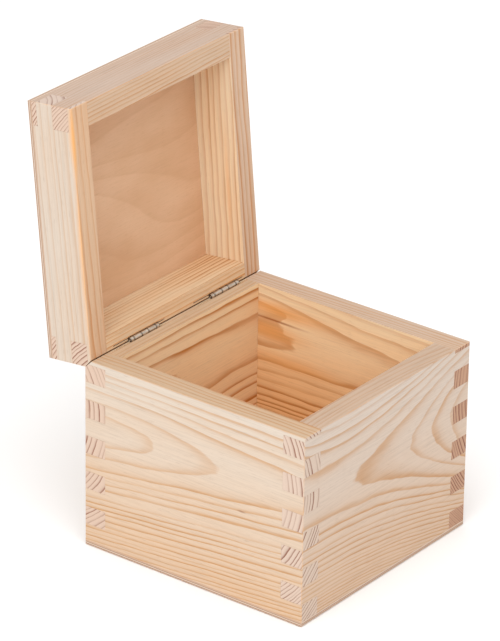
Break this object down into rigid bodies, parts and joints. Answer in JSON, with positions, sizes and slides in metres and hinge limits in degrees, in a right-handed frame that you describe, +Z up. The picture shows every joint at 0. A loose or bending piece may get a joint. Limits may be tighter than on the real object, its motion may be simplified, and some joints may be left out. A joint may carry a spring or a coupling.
{
  "type": "hinged lid box",
  "caption": "Square wooden storage box with finger-jointed corners and a framed lid that opens just past upright on two small hinges pressed into the back edge.",
  "frame": {"origin": "centre of the underside of the box's bottom panel, on the surface it stands on", "axes": "+Z up, -Y towards the front that faces the user, +X along the hinge line to the user's right; the lid is at rest in its open place"},
  "size_m": [0.16, 0.2011, 0.2747],
  "materials": {
    "pine": "sanded, unfinished",
    "plywood": "sanded, unfinished",
    "hinge_metal": "nickel plated, satin"
  },
  "bodies": {
    "box": {"body_front_wall": "pine", "body_back_wall": "pine", "body_left_wall": "pine", "body_right_wall": "pine", "body_bottom_panel": "plywood", "hinge_left_body_leaf": "hinge_metal", "hinge_left_pin": "hinge_metal", "hinge_right_body_leaf": "hinge_metal", "hinge_right_pin": "hinge_metal"},
    "lid": {"lid_front_rail": "pine", "lid_back_rail": "pine", "lid_left_rail": "pine", "lid_right_rail": "pine", "lid_top_panel": "plywood", "hinge_left_lid_leaf": "hinge_metal", "hinge_right_lid_leaf": "hinge_metal"}
  },
  "joints": [
    {"name": "lid_hinge", "type": "hinge", "parent": "box", "child": "lid", "pos_m": [0, 0.0745, 0.1215], "axis": [1, 0, 0], "range_deg": [0, 95.5]}
  ]
}
